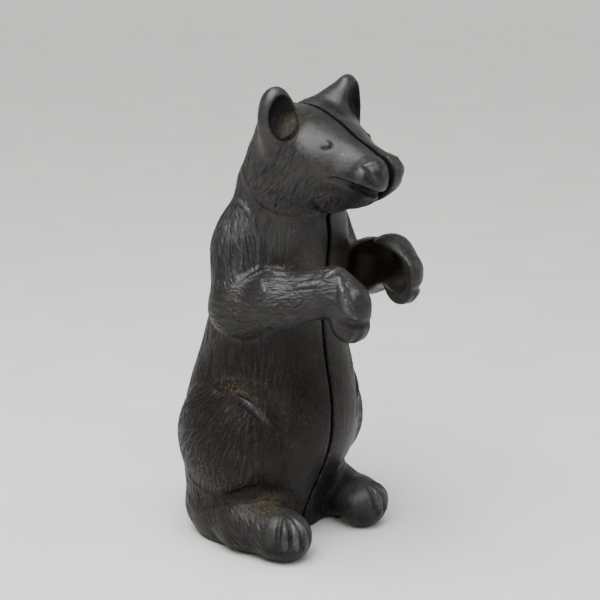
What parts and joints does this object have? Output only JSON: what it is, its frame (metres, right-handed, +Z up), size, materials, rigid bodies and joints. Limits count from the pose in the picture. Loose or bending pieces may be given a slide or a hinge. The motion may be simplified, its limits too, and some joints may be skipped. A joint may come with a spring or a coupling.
{
  "type": "nutcracker",
  "caption": "Upright bear-shaped cast-iron nutcracker: two hollow halves swing apart on a back hinge to take a nut between ribbed jaws.",
  "frame": {"origin": "centre of the bounding box at the base, on the table", "axes": "+Z up, the bear faces -Y, its left side is +X"},
  "size_m": [0.0968, 0.1127, 0.2162],
  "materials": {
    "iron": "satin",
    "steel": "satin"
  },
  "bodies": {
    "right_side": {"right_half": "iron", "hinge_pin": "steel"},
    "left_side": {"left_half": "iron"}
  },
  "joints": [
    {"name": "back_hinge", "type": "hinge", "parent": "right_side", "child": "left_side", "pos_m": [0, 0.051, 0.058], "axis": [0, 0, 1], "range_deg": [-1.5, 50]}
  ]
}
